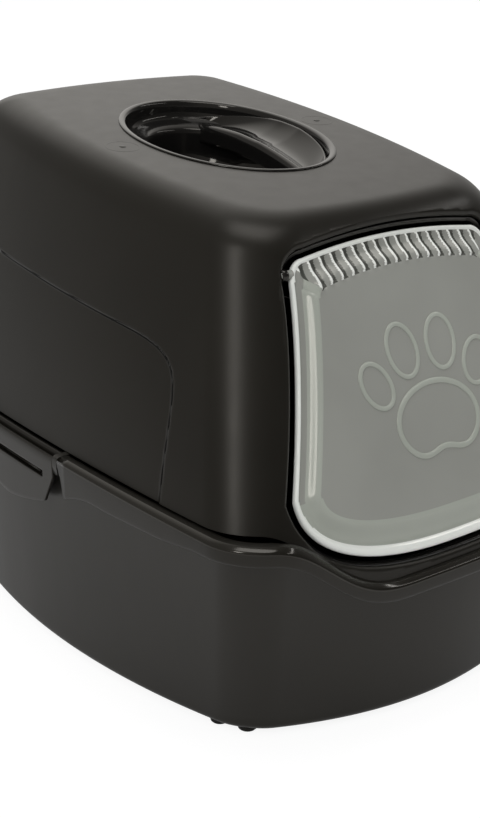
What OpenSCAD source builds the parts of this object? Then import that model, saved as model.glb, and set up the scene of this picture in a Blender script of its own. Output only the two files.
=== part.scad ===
// Hooded cat litter box: a deep tray, a clip-on hood with a see-through swing door,
// a recessed carrying handle in the roof and a clip on each side.
// Origin: middle of the base on the floor. The door faces -Y, +X is right, +Z is up.

/* [Overall] */
// Overall width across the tray rim
box_w = 394; // [360:1:440]
// Overall length along the tray rim
box_l = 559; // [520:1:600]
// Height of the roof above the floor, over the middle of the box
roof_z = 371; // [361:1:377]
// Rise of the roof towards the back, per unit of length
roof_slope = 0.114; // [0.1:0.002:0.13]

/* [Tray] */
// Height of the tray rim at the sides and back
rim_z = 172; // [170:1:174]
// Height of the tray rim under the door
sill_z = 122; // [118:1:124]
// How far the base stands in from the rim at the sides
base_in_x = 12; // [8:0.5:18]
// How far the base stands in from the rim at the front and back
base_in_y = 24.5; // [18:0.5:34]
// Wall thickness of tray and hood
wall = 3; // [2.4:0.2:3.4]
// Depth of the rim band along the sides
band_side = 21; // [17:1:24]
// Depth of the rim band under the door
band_front = 13; // [11:1:16]
// Length of a side clip
clip_len = 148; // [130:2:152]
// Centre of the side clips along the box
clip_y = 15; // [5:1:25]

/* [Feet] */
// Diameter of a rubber foot
foot_d = 14; // [10:1:16]
// Height of a rubber foot below the base
foot_h = 4; // [3:0.5:5]

/* [Door] */
// Backward lean of the door plane, in degrees
lean = 24.2; // [22:0.2:26]
// Height of the hinge axis above the floor
hinge_z = 317; // [315:1:319]
// Half width of the flap at its top
flap_top_w = 88; // [84:1:90]
// Distance from the side of the rim to the flap at its widest level
door_side = 68; // [66:1:73]
// Distance from the hinge axis down to the widest level
flap_wide_v = 143; // [138:1:146]
// Distance from the hinge axis down to the lowest edge
flap_low_v = 200; // [196:1:202]
// Gap between flap and door frame
flap_gap = 2.5; // [2:0.1:3]
// Width of the door frame ring
frame_w = 5.5; // [5:0.5:6.5]
// Diameter of the hinge pins
pin_d = 6; // [5:0.5:7]
// Radial clearance of the hinge pins
pin_fit = 0.06; // [0.03:0.01:0.1]

/* [Handle] */
// Half length of the handle recess along the box
grip_a = 100; // [96:1:104]
// Half width of the handle recess
grip_b = 74; // [70:1:76]
// Depth of the hand pocket below the roof
pocket_d = 50; // [44:1:56]

/* [Hood lift] */
// Gap left between hood and tray
seat_gap = 0.3; // [0.2:0.05:0.5]
// Height of the hinge axis of a side clip
clip_axis_z = 165; // [164:1:166]

/* [Hidden] */
$fn = 48;

rim_hx = box_w / 2;
rim_hy = box_l / 2;
base_hx = rim_hx - base_in_x;
base_hy = rim_hy - base_in_y;
rim_sag = [14, 10.5];
rim_r = 40;
rim_lip = 7;
base_sag = [38, 40];
base_r = 22;
edge_r = 7;
roof_mid_y = 2;
roof_r = 32;
roof_back_r = 12;
roof_flat = [rim_hx - 91, rim_hy - 116.5, rim_hy - 111.5];
roof_sag = [19, 9];
roof_front_r = 24;
hood_foot = [rim_hx - 7, rim_hy - 15.5, rim_hy - 7.5];
hood_skirt = [rim_hx - 5, rim_hy - 3.5, rim_hy - 1.5];
hood_foot_sag = [13, 5];
hood_skirt_sag = [13, 8];
hood_r = 42;
skirt_z = 104;
foot_z = rim_z - 10;
hinge_y = 93 - rim_hy;
flap_wide_w = rim_hx - door_side;
open_gap = flap_gap + frame_w;
foot_edge = 1.5;
flap_t = 2.4;
rim_t = 5;
panel_in = 17;
panel_top_v = -6;
panel_foot_v = -176;
panel_rise = 8;
clip_axis_x = rim_hx - 3.8;
lug_root_x = hood_foot[0] - 5;
clip_slot = 4;
hook_half = 38;
bead_half = hook_half + 2;
clip_pin_d = 3.6;
clip_t = 2.4;
clip_top = 5;
lug_t = 4;
lug_from = clip_len / 2 - lug_t - 1;
lug_r = 3;
lug_gap = 0.6;
pin_grip = 3.6;
slice_t = 0.02;
bead_z = 145;
dip_from = flap_wide_w - 79;
dip_to = rim_hx - 35;
dip_back_y = rim_hy - 159.5;
flare_drop = 9;
flare_run = 37;
big = 700;

charcoal = [0.17, 0.16, 0.15];
gloss_black = [0.08, 0.08, 0.08];
smoke = [0.62, 0.66, 0.62, 0.6];
rubber_black = [0.1, 0.1, 0.1];

// ---------- outlines ----------

// Point on a bowed rectangle edge: half sizes h, bow depth s
function bow_x(hx, hy, s, y) = hx - s * pow(y / hy, 2);

// Bowed rectangle with round corners: hx, front and back reach, bows, radius of the front and back corners
module bowed(hx, yf, yb, sx, sy, r, back_r) {
    intersection() {
        bowed_even(hx, yf, yb, sx, sy, r);
        translate([-big / 2, -big]) square(big);
    }
    intersection() {
        bowed_even(hx, yf, yb, sx, sy, back_r);
        translate([-big / 2, -slice_t]) square(big);
    }
}

module bowed_even(hx, yf, yb, sx, sy, r) {
    offset(r = r, $fn = 40) offset(delta = -r) polygon(concat(
        [for (i = [-6:6]) let (x = i / 6) [x * (hx - sx), -yf + sy * x * x]],
        [for (i = [-5:5]) let (y = i / 6) [bow_x(hx, 1, sx, y), y > 0 ? y * (yb - sy) : y * (yf - sy)]],
        [for (i = [-6:6]) let (x = -i / 6) [x * (hx - sx), yb - sy * x * x]],
        [for (i = [-5:5]) let (y = -i / 6) [-bow_x(hx, 1, sx, y), y > 0 ? y * (yb - sy) : y * (yf - sy)]]
    ));
}

// Thin slice of a shell at height z, tilted by slope along Y; back_r: back corners unlike the front ones
module slice(z, slope, hx, yf, yb, sag, r, inset, back_r = 0) {
    multmatrix([[1, 0, 0, 0], [0, 1, 0, 0], [0, slope, 1, z], [0, 0, 0, 1]])
        linear_extrude(slice_t)
            if (back_r > 0)
                bowed(hx - inset, yf - inset, yb - inset, sag[0], sag[1],
                      max(r - inset, 4), max(back_r - inset, 4));
            else
                bowed_even(hx - inset, yf - inset, yb - inset, sag[0], sag[1], max(r - inset, 4));
}

// Height of the tray rim across the box: level at the sides, dipping under the door
function dip_s(x) = pow(min(max((abs(x) - dip_from) / (dip_to - dip_from), 0), 1), 1.35);
function dip_z(x) = sill_z + (rim_z - sill_z) * (1 - cos(180 * dip_s(x))) / 2;

// Notch that the door cuts down into the rim line, moved up by lift
module dip_notch(lift) {
    steps = 16;
    xs = [for (i = [1 - steps:steps - 1]) i * dip_to / steps];
    translate([0, -dip_back_y, 0])
        rotate([90, 0, 0])
            linear_extrude(200)
                polygon(concat(
                    [for (x = xs) [x, dip_z(x) + lift]],
                    [[dip_to, rim_z + lift + 1], [-dip_to, rim_z + lift + 1]]
                ));
}

// Everything below the rim line, moved up by lift
module under_rim(lift) {
    difference() {
        translate([-big / 2, -big / 2, -big + rim_z + lift]) cube(big);
        dip_notch(lift);
    }
}

// Layer just under the rim line, of the given depth
module rim_layer(depth) {
    difference() {
        under_rim(0);
        under_rim(-depth);
    }
}

// ---------- tray ----------

module tray_solid(inset, floor_z) {
    low = [base_hx, base_hy];
    levels = [for (a = [0:22.5:90]) [floor_z + edge_r * (1 - cos(a)), edge_r * (1 - sin(a))]];
    for (i = [0:len(levels) - 2])
        hull() {
            slice(levels[i][0], 0, low[0], low[1], low[1], base_sag, base_r, inset + levels[i][1]);
            slice(levels[i + 1][0], 0, low[0], low[1], low[1], base_sag, base_r, inset + levels[i + 1][1]);
        }
    hull() {
        slice(floor_z + edge_r, 0, low[0], low[1], low[1], base_sag, base_r, inset);
        slice(rim_z + 6, 0, rim_hx, rim_hy, rim_hy, rim_sag, rim_r, inset + rim_lip);
    }
}

// Flat ring along the rim outline, from inset a to inset b, over the full height
module rim_prism(a, b) {
    translate([0, 0, sill_z - 40])
        linear_extrude(rim_z - sill_z + 40)
            difference() {
                bowed_even(rim_hx - a, rim_hy - a, rim_hy - a, rim_sag[0], rim_sag[1], rim_r - a);
                bowed_even(rim_hx - b, rim_hy - b, rim_hy - b, rim_sag[0], rim_sag[1], rim_r - b);
            }
}

// Lower edge of the side band: deepest beside a clip, at e = 0, and level from e = 1 on
function band_low(e) = rim_z - band_side - flare_drop * pow(1 - e, 1.85);

// Band zone: narrow under the door, deeper along the sides, flaring down on both sides of each clip
module band_zone() {
    flare = clip_len / 2 + 8;
    intersection() {
        rim_layer(band_front);
        translate([22 - rim_hx, -big / 2, 0]) cube([box_w - 44, big / 2, big]);
    }
    for (s = [-1, 1])
        translate([s > 0 ? rim_hx - 47 : -rim_hx - 13, 0, 0])
            rotate([90, 0, 90])
                linear_extrude(60)
                    polygon(concat(
                        [[29.5 - rim_hy, rim_z], [29.5 - rim_hy, rim_z - band_front],
                         [64.5 - rim_hy, rim_z - band_front - 1], [129.5 - rim_hy, rim_z - band_side + 1]],
                        [for (e = [1, 0.5, 0]) [clip_y - flare - e * flare_run, band_low(e)]],
                        [for (e = [0, 0.5, 1]) [clip_y + flare + e * flare_run, band_low(e)]],
                        [[rim_hy - 60, rim_z - band_side], [rim_hy + 5, rim_z - band_front],
                         [rim_hy + 5, rim_z]]
                    ));
    translate([-big / 2, rim_hy - 60, rim_z - band_front]) cube([big, 80, band_front]);
}

// Space of one side clip with its swing, on the side s: close at the top, wider from the notch down
module clip_bay(s) {
    half = clip_len / 2 + 1;
    top = rim_z - clip_axis_z + 1;
    translate([s > 0 ? rim_hx - 27 : -rim_hx - 33, clip_y, clip_axis_z])
        rotate([90, 0, 90])
            linear_extrude(60)
                polygon([[half, top], [-half, top], [-half, -4], [-half - 4.5, -6.5], [-half - 7, -25],
                         [-half - 7, -55], [half + 7, -55], [half + 7, -25], [half + 4.5, -6.5], [half, -4]]);
}

// Catch bead on the tray wall that a clip hooks under
module catch_bead(s) {
    face = bow_x(rim_hx - rim_lip, 1, 0, 0) - 1.2;
    translate([s * face, clip_y + bead_half, bead_z])
        rotate([90, 0, 0])
            linear_extrude(2 * bead_half)
                scale([s, 1])
                    polygon([[-1.5, -2.2], [0, -2.2], [2.6, 0.8], [2.6, 3], [0, 5.4], [-1.5, 5.4]]);
}

module base_tray() {
    color(charcoal) {
        intersection() {
            difference() {
                tray_solid(0, foot_h);
                tray_solid(wall, foot_h + wall);
            }
            under_rim(0);
        }
        difference() {
            union() {
                intersection() {
                    rim_prism(0, 2.6);
                    band_zone();
                }
                intersection() {
                    rim_prism(0, rim_lip + 1.5);
                    rim_layer(wall);
                }
            }
            clip_bay(-1);
            clip_bay(1);
        }
        catch_bead(-1);
        catch_bead(1);
    }
}

module feet() {
    color(rubber_black)
        for (sx = [-1, 1], sy = [-1, 1], spot = [[41, 70], [51, 51]])
            translate([sx * (base_hx - spot[0]), sy * (base_hy - spot[1]), 0]) {
                cylinder(d1 = foot_d - 2 * foot_edge, d2 = foot_d, h = foot_edge);
                translate([0, 0, foot_edge]) cylinder(d = foot_d, h = foot_h - foot_edge);
            }
}

// ---------- door ----------

// Half width of the flap at the level v along the door plane, zero at the hinge
function flap_half(v) = flap_top_w + (flap_wide_w - flap_top_w)
    * pow(max((9 - v) / (flap_wide_v + 9), 0), 1.42);

// Outline with an arched top at level top, flared sides and a round foot at level foot;
// g is added to the half width all along, r is the radius of the upper corners
function flared(g, top, foot, r) = let (
    shoulder = top - 6,
    half = flap_half(shoulder) + g - r,
    side = [for (i = [0:9]) shoulder - r - i * (shoulder - r + flap_wide_v) / 9]
) concat(
    [for (i = [-6:6]) let (x = i / 6) [x * half, top - 6 * x * x]],
    [for (a = [75:-15:15]) [half + r * cos(a), shoulder - r + r * sin(a)]],
    [for (v = side) [flap_half(v) + g, v]],
    [for (a = [10:10:170]) [
        (flap_wide_w + g) * sign(cos(a)) * pow(abs(cos(a)), 2 / 2.4),
        -flap_wide_v + (foot + flap_wide_v) * pow(sin(a), 2 / 2.4)]],
    [for (i = [9:-1:0]) [-flap_half(side[i]) - g, side[i]]],
    [for (a = [15:15:75]) [-half - r * cos(a), shoulder - r + r * sin(a)]]
);

// Flap outline grown by g
function door_outline(g) = flared(g, 15 + g, -flap_low_v - g, 12.5 + g);

// Door plane: local X across, local Y up the slope, local Z outwards through the door
module on_door() {
    translate([0, hinge_y, hinge_z])
        rotate([90 - lean, 0, 0])
            children();
}

module door_plate(g, from, to) {
    translate([0, 0, from])
        linear_extrude(to - from)
            polygon(door_outline(g));
}

// Raised inner panel of the flap, grown by g
module panel_block(g, from, to) {
    translate([0, 0, from])
        linear_extrude(to - from)
            polygon(flared(g - panel_in, panel_top_v + g, panel_foot_v - g, 8 + g));
}

module door_flap() {
    color(smoke)
        on_door() {
            difference() {
                union() {
                    door_plate(0, -rim_t / 2, rim_t / 2);
                    panel_block(0, 0, panel_rise);
                }
                difference() {
                    door_plate(-4.5, -rim_t, -flap_t / 2);
                    panel_block(0, -rim_t, panel_rise);
                }
                difference() {
                    door_plate(-4.5, flap_t / 2, rim_t);
                    panel_block(0, -rim_t, panel_rise);
                }
                panel_block(-flap_t, -rim_t, panel_rise - flap_t);
            }
            for (s = [-1, 1])
                translate([s * (flap_top_w - 2), 0, 0])
                    rotate([0, s * 90, 0])
                        cylinder(d = pin_d, h = 2 + flap_gap + pin_grip);
        }
}

module door_frame() {
    color(gloss_black)
        on_door()
            difference() {
                door_plate(open_gap, -7, 7);
                door_plate(flap_gap, -8, 11);
                for (s = [-1, 1])
                    translate([s * (flap_top_w + 0.5), 0, 0])
                        rotate([0, s * 90, 0])
                            cylinder(d = pin_d + 2 * pin_fit, h = flap_gap + pin_grip);
            }
}

// ---------- hood ----------

function roof_at(y) = roof_z + roof_slope * (y - roof_mid_y);

// One round step of the roof edge: angle a from the wall to the roof
module roof_step(a, inset) {
    out = roof_r * cos(a);
    drop = roof_r * (1 - sin(a));
    slice(roof_z - roof_slope * roof_mid_y - drop - inset * sin(a), roof_slope,
          roof_flat[0] + out, roof_flat[1] + out, roof_flat[2] + out,
          roof_sag, roof_front_r + out * 0.5, inset * cos(a), roof_back_r + out * 0.2);
}

module hood_solid(inset) {
    hull() {
        slice(skirt_z - inset, 0, hood_skirt[0], hood_skirt[1], hood_skirt[2], hood_skirt_sag, hood_r, inset);
        slice(foot_z, 0, hood_foot[0], hood_foot[1], hood_foot[2], hood_foot_sag, hood_r, inset);
    }
    hull() {
        slice(foot_z, 0, hood_foot[0], hood_foot[1], hood_foot[2], hood_foot_sag, hood_r, inset);
        roof_step(18, inset);
    }
    for (a = [18:18:72])
        hull() {
            roof_step(a, inset);
            roof_step(a + 18, inset);
        }
}

// Oval of the handle recess, grown by g
function oval(g) = [for (a = [0:6:354]) [(grip_b + g) * cos(a), (grip_a + g) * sin(a)]];

// Roof plane at the handle: local Z points out of the roof
module on_roof() {
    translate([0, 4, roof_at(4)])
        rotate([atan(roof_slope), 0, 0])
            children();
}

// Hinge lug for a side clip, outside the tray wall and joined to the hood foot; round about the clip's axis
module clip_lug(s, y) {
    translate([0, y + lug_t / 2, 0])
        rotate([90, 0, 0])
            linear_extrude(lug_t)
                scale([s, 1])
                    polygon(concat(
                        [for (a = [180:15:360]) [clip_axis_x + lug_r * cos(a), clip_axis_z + lug_r * sin(a)]],
                        [[clip_axis_x + lug_r, rim_z - 2], [hood_foot[0] + 2, rim_z + 2.5],
                         [lug_root_x, rim_z + 2.5], [lug_root_x, rim_z + seat_gap + 0.1],
                         [clip_axis_x - lug_r, rim_z + seat_gap + 0.1]]
                    ));
}

module hood() {
    lug_mid = lug_from + lug_t / 2;
    color(charcoal)
        difference() {
            union() {
                difference() {
                    hood_solid(0);
                    hood_solid(wall);
                    under_rim(seat_gap);
                    on_door() door_plate(open_gap, -16, 40);
                    on_roof() translate([0, 0, -20]) linear_extrude(40) polygon(oval(-4));
                }
                for (s = [-1, 1], e = [-1, 1]) clip_lug(s, clip_y + e * lug_mid);
            }
            for (s = [-1, 1])
                translate([s * clip_axis_x, clip_y, clip_axis_z])
                    rotate([90, 0, 0])
                        cylinder(d = clip_pin_d + 2 * pin_fit, h = clip_len, center = true);
        }
}

// ---------- handle ----------

// Edge of the grip plate across the recess, curved towards the free side
function grip_edge(y) = 22 - 24 * pow((y - 18) / grip_a, 2);

module grip_plan(from) {
    intersection() {
        polygon(oval(-5));
        polygon(concat(
            [for (i = [-10:10]) let (y = i * grip_a / 10) [grip_edge(y) + from, y]],
            [[2 * grip_b, grip_a], [2 * grip_b, -grip_a]]
        ));
    }
}

module handle_insert() {
    color(gloss_black)
        on_roof() {
            difference() {
                translate([0, 0, -pocket_d]) linear_extrude(pocket_d + 1) polygon(oval(-4.3));
                translate([0, 0, -pocket_d + wall]) linear_extrude(pocket_d + 1) polygon(oval(-4.3 - wall));
            }
            difference() {
                translate([0, 0, slice_t]) linear_extrude(1.8) polygon(oval(0));
                translate([0, 0, -1]) linear_extrude(4) polygon(oval(-6.5));
            }
            translate([0, 0, -12]) linear_extrude(wall) grip_plan(0);
            translate([0, 0, -22])
                linear_extrude(11)
                    difference() {
                        grip_plan(0);
                        grip_plan(wall);
                    }
        }
}

// ---------- side clips ----------

// Plate outline in the side view: straight top cut back at the lugs, slanting ends, bulging foot, pull slot
module clip_plate() {
    half = clip_len / 2;
    top = lug_from - lug_gap;
    lug_low = -lug_r - 2 * lug_gap;
    slot_half = half - 20;
    foot_half = half - 19;
    difference() {
        polygon(concat(
            [[-half, lug_low], [-top, lug_low], [-top, clip_top], [top, clip_top], [top, lug_low],
             [half, lug_low], [half, -5], [half - 4.5, -9]],
            [for (i = [8:-1:-8]) let (y = i / 8) [y * foot_half, -34 - 12.7 * (1 - pow(abs(y), 1.4))]],
            [[4.5 - half, -9], [-half, -5]]
        ));
        translate([-slot_half, -14.5]) square([2 * slot_half, clip_slot]);
    }
}

module side_clip(s) {
    plate_x = rim_hx - clip_axis_x - clip_t;
    color(gloss_black)
        translate([s * clip_axis_x, clip_y, clip_axis_z]) {
            translate([s > 0 ? plate_x : -plate_x - clip_t, 0, 0])
                rotate([90, 0, 90])
                    linear_extrude(clip_t) clip_plate();
            rotate([90, 0, 0]) cylinder(d = 5.4, h = 2 * lug_from - 1, center = true);
            rotate([90, 0, 0]) cylinder(d = clip_pin_d, h = 2 * (lug_from + lug_t), center = true);
            translate([0, hook_half, 0])
                rotate([90, 0, 0])
                    linear_extrude(2 * hook_half)
                        scale([s, 1])
                            polygon([[1.6, -25.4], [-2.4, -22.8], [-2.4, -21.4], [1.6, -17.4]]);
        }
}

module left_clip() { side_clip(-1); }
module right_clip() { side_clip(1); }

base_tray();
feet();
hood();
handle_insert();
door_frame();
door_flap();
left_clip();
right_clip();
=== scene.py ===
"""Hooded cat litter box, built up in the order in which its pieces go together.

Lengths are in millimetres in the working arrays and become metres in the meshes. The origin is the middle of the
base on the floor, the door faces -Y, +X is right and +Z is up.
"""
import math

import bpy
import numpy as np
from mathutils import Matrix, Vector
from mathutils.bvhtree import BVHTree


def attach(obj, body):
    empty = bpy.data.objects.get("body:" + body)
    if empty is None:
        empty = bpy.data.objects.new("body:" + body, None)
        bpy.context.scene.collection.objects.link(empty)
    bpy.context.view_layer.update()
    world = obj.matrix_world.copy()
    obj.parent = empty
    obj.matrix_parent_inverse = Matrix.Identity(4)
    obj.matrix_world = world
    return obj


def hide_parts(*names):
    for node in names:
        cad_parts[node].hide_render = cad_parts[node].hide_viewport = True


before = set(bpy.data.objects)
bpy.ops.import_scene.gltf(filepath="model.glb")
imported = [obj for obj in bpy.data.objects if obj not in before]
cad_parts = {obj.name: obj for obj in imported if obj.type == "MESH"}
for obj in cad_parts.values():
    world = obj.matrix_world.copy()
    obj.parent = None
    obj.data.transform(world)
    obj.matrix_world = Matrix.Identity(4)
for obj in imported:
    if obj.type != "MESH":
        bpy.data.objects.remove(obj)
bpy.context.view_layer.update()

# ------------------------------------------------------------
# Base tray. The real piece is one injection moulding of charcoal polypropylene: a deep bowl with flared walls and
# a rim ledge that the hood stands on. A band hangs from the rim, parted on each side for the clips.
# ------------------------------------------------------------


def spaced(*spans):
    """Rising values in spans of (from, to, count), each even in itself and starting where the last one ends."""
    return np.concatenate([np.linspace(*span)[:-1] for span in spans[:-1]] + [np.linspace(*spans[-1])])


# Points of a quarter outline: along the end, round the corner, and along the side from its middle to its corner.
# They are closest where the upright edge of the hood's side panel crosses the side.
end_count, corner_count = 36, 20
front_side = spaced((0, 0.1, 12), (0.1, 0.54, 20), (0.54, 0.68, 38), (0.68, 0.9, 22), (0.9, 1, 5))
back_side = spaced((0, 0.14, 12), (0.14, 0.6, 24), (0.6, 1, 14))
quarter_circle_weight = 0.7071


def bowed_ring(half_x, front, back, bow_x, bow_y, corner, back_corner=None):
    """Closed outline of a bowed rectangle, counter-clockwise from the middle of the back.

    A side is the parabola x = half_x - bow_x t^2 and an end is y = reach - bow_y t^2, where t runs from 0 in the
    middle to 1 at the corner point. Both stop one corner radius short of it, and a circle-like conic with its
    control point where their tangents cross joins them."""
    quarters = []
    for reach, side, radius in ((back, back_side, back_corner or corner), (front, front_side, corner)):
        corner_x, corner_y = half_x - bow_x, reach - bow_y
        t_end = np.linspace(0, 1, end_count) * (1 - radius / corner_x)
        t_side = side * (1 - radius / corner_y)
        end = np.stack([corner_x * t_end, reach - bow_y * t_end ** 2], 1)
        flank = np.stack([half_x - bow_x * t_side ** 2, corner_y * t_side], 1)
        d_end = np.array([corner_x, -2 * bow_y * t_end[-1]])
        d_side = np.array([-2 * bow_x * t_side[-1], corner_y])
        run = np.linalg.solve(np.stack([d_end, -d_side], 1), flank[-1] - end[-1])
        control = end[-1] + run[0] * d_end
        s = np.linspace(0, 1, corner_count + 2)[1:-1, None]
        weight = quarter_circle_weight * 2 * s * (1 - s)
        arc = ((1 - s) ** 2 * end[-1] + weight * control + s ** 2 * flank[-1]) / ((1 - s) ** 2 + weight + s ** 2)
        quarters.append(np.concatenate([end, arc, flank[::-1]]))
    back_quarter, front_quarter = quarters
    left_back = back_quarter * [-1, 1]
    left_front = front_quarter[::-1] * [-1, -1]
    right_front = front_quarter * [1, -1]
    right_back = back_quarter[::-1]
    return np.concatenate([left_back, left_front[1:], right_front[1:], right_back[1:-1]])


def level(ring, z):
    """A plan outline as points in space at the height z, which is one number or one for each point."""
    return np.column_stack([ring, np.broadcast_to(z, len(ring))])


def grid_faces(rows, cols, wrap_rows=False, wrap_cols=True, flip=False):
    """Quads between neighbouring points of a rows x cols grid, which are numbered row by row."""
    r = np.arange(rows if wrap_rows else rows - 1)[:, None]
    c = np.arange(cols if wrap_cols else cols - 1)[None, :]
    r2, c2 = (r + 1) % rows, (c + 1) % cols
    quads = np.stack(np.broadcast_arrays(r * cols + c, r * cols + c2, r2 * cols + c2, r2 * cols + c), -1)
    quads = quads.reshape(-1, 4)
    return quads[:, ::-1] if flip else quads


def solid(name, parts, material):
    """A mesh object made of closed parts. Each part is (points in mm, quads, list of polygons)."""
    points, faces, first = [], [], 0
    for pts, quads, polygons in parts:
        points.append(np.asarray(pts, float).reshape(-1, 3))
        faces += (np.asarray(quads, int).reshape(-1, 4) + first).tolist()
        faces += [[i + first for i in polygon] for polygon in polygons]
        first += len(points[-1])
    mesh = bpy.data.meshes.new(name)
    mesh.from_pydata((np.concatenate(points) * 0.001).tolist(), [], faces)
    mesh.validate()
    mesh.shade_smooth()
    mesh.materials.append(material)
    piece = bpy.data.objects.new(name, mesh)
    bpy.context.scene.collection.objects.link(piece)
    return piece


def bowl(rows, flip=False):
    """Closed part from a stack of rings: the first and the last ring are gathered into a pole at their middle."""
    rows = np.asarray(rows)
    count, n = rows.shape[:2]
    points = np.concatenate([rows.reshape(-1, 3), [rows[0].mean(0), rows[-1].mean(0)]])
    i = np.arange(n)
    low = np.stack([(i + 1) % n, i, np.full(n, count * n)], 1)
    high = np.stack([i + (count - 1) * n, (i + 1) % n + (count - 1) * n, np.full(n, count * n + 1)], 1)
    polygons = np.concatenate([low, high])
    if flip:
        polygons = polygons[:, ::-1]
    return points, grid_faces(count, n, flip=flip), polygons.tolist()


def swept(rows, flip=False):
    """Closed part from a profile loop carried along an open path: rows are path stations, and both ends are capped."""
    rows = np.asarray(rows)
    count, n = rows.shape[:2]
    caps = [list(range(n - 1, -1, -1)), list(range((count - 1) * n, count * n))]
    if flip:
        caps = [cap[::-1] for cap in caps]
    return rows.reshape(-1, 3), grid_faces(count, n, flip=flip), caps


def looped(rows, flip=False):
    """Closed part from a profile loop carried along a closed path."""
    rows = np.asarray(rows)
    count, n = rows.shape[:2]
    return rows.reshape(-1, 3), grid_faces(count, n, wrap_rows=True, flip=flip), []


def tuned(node, values):
    """The node, with the given values at its inputs."""
    for name, value in values.items():
        node.inputs[name].default_value = value
    return node


def plastic(name, colour, roughness, specular, grain, grain_depth, fleck=0.12, alpha=1.0):
    """Moulded plastic with slightly warm reflections. Fine spark-eroded grain raises the surface, a wide cloud as
    the melt flowed lets the colour drift by the fleck share each way, and faint upright marks of handling shift the
    roughness. Sizes of grain and noise are in mm."""
    material = bpy.data.materials.new(name)
    material.use_nodes = True
    nodes, links = material.node_tree.nodes, material.node_tree.links
    shader = tuned(nodes["Principled BSDF"], {"Specular IOR Level": specular, "Specular Tint": (1.0, 0.955, 0.88, 1),
                                              "Alpha": alpha})
    place = nodes.new("ShaderNodeTexCoord").outputs["Object"]

    def noise(size, detail, stretch=(1, 1, 1)):
        """Cloudy values around a half, with clouds of about the given size."""
        spread = tuned(nodes.new("ShaderNodeMapping"), {"Scale": stretch})
        texture = tuned(nodes.new("ShaderNodeTexNoise"), {"Scale": 1000 / size, "Detail": detail})
        links.new(place, spread.inputs["Vector"])
        links.new(spread.outputs[0], texture.inputs["Vector"])
        return texture.outputs["Fac"]

    def remap(value, low, high):
        """The middle of the noise's range, 0.3 to 0.7, stretched evenly to low to high."""
        spans = {"From Min": 0.3, "From Max": 0.7, "To Min": low, "To Max": high}
        node = tuned(nodes.new("ShaderNodeMapRange"), spans)
        links.new(value, node.inputs["Value"])
        return node.outputs[0]

    flow = noise(90, 3)
    marks = noise(14, 4, (1, 1, 0.12))
    tint = nodes.new("ShaderNodeMix")
    tint.data_type = "RGBA"
    tuned(tint, {"A": [c * (1 - fleck) for c in colour] + [1], "B": [c * (1 + fleck) for c in colour] + [1]})
    links.new(remap(flow, 0, 1), tint.inputs["Factor"])
    links.new(tint.outputs["Result"], shader.inputs["Base Color"])
    links.new(remap(marks, roughness * 0.96, roughness * 1.05), shader.inputs["Roughness"])
    bump = tuned(nodes.new("ShaderNodeBump"), {"Distance": grain_depth / 1000, "Strength": 0.6})
    links.new(noise(grain, 2), bump.inputs["Height"])
    links.new(bump.outputs[0], shader.inputs["Normal"])
    return material


rim_half, rim_reach, rim_bow, rim_end_bow, rim_corner = 197.0, 279.5, 14.0, 10.5, 40.0
base_half, base_reach, base_bow, base_end_bow, base_corner = 185.0, 255.0, 38.0, 40.0, 22.0
rim_z, sill_z, ledge_w, wall = 172.0, 122.0, 7.0, 3.0
dip_near, dip_far, dip_back = 50.0, 162.0, -120.0


def dip(x, y):
    """Height of the rim line: level at rim_z, and along the front it drops to sill_z by half a cosine of s, where s
    grows from 0 at 50 mm to 1 at 162 mm from the middle, to the power 1.35."""
    s = np.clip((np.abs(x) - dip_near) / (dip_far - dip_near), 0, 1) ** 1.35
    return np.where(y < dip_back, sill_z + (rim_z - sill_z) * (1 - np.cos(np.pi * s)) / 2, rim_z)


def side_bow(y):
    """How far the rim's side has curved in at y: the rim's bow times the square of y over its corner's y."""
    return rim_bow * (y / (rim_reach - rim_end_bow)) ** 2


def rim_ring(inset):
    """The rim's bowed outline, moved in by the inset."""
    return bowed_ring(rim_half - inset, rim_reach - inset, rim_reach - inset, rim_bow, rim_end_bow,
                      max(rim_corner - inset, 6))


def base_ring(inset):
    """The base's bowed outline, moved in by the inset."""
    return bowed_ring(base_half - inset, base_reach - inset, base_reach - inset, base_bow, base_end_bow,
                      max(base_corner - inset, 6))


def tray_wall(inset, z_low, top):
    """Wall rings, ruled from the base outline up to the rim outline one ledge further in, which they would reach at
    178 mm. Each ring point stops at its own share of the way up to `top`."""
    low, high = base_ring(inset), rim_ring(inset + ledge_w)
    rise = (top - z_low) * np.linspace(0, 1, 26)[:, None]
    share = rise / (178 - z_low)
    plan = low[None] * (1 - share[..., None]) + high[None] * share[..., None]
    return np.concatenate([plan, (z_low + rise)[..., None]], -1)


rim_plan = rim_ring(0)
rim_line = dip(rim_plan[:, 0], rim_plan[:, 1])
foot_h, edge_r = 4.0, 7.0
turn = np.radians(np.linspace(0, 90, 8))
floor_shares = (0.2, 0.5, 0.8, 0.97)
outside = [level(base_ring(edge_r) * share, foot_h) for share in floor_shares]
outside += [level(base_ring(edge_r * (1 - math.sin(a))), foot_h + edge_r * (1 - math.cos(a))) for a in turn[:-1]]
outside += list(tray_wall(0, foot_h + edge_r, rim_line - 1))
floor_z = foot_h + wall
inside = list(tray_wall(wall, floor_z + edge_r, rim_line - 1))[::-1]
inside += [level(base_ring(wall + edge_r * (1 - math.sin(a))), floor_z + edge_r * (1 - math.cos(a)))
           for a in turn[::-1][1:]]
inside += [level(base_ring(wall + edge_r) * share, floor_z) for share in floor_shares[::-1]]
tray_bowl = bowl(outside + inside)

clip_y, clip_half = 15.0, 74.0
band_y = (-250, -216, -184, -150, -120, 219.5, 284.5)
band_drop = (13, 14, 18.2, 19.8, 21.3, 21.3, 13)
flare_depth, flare_from, flare_run = 9.0, 119.0, 37.0
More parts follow.
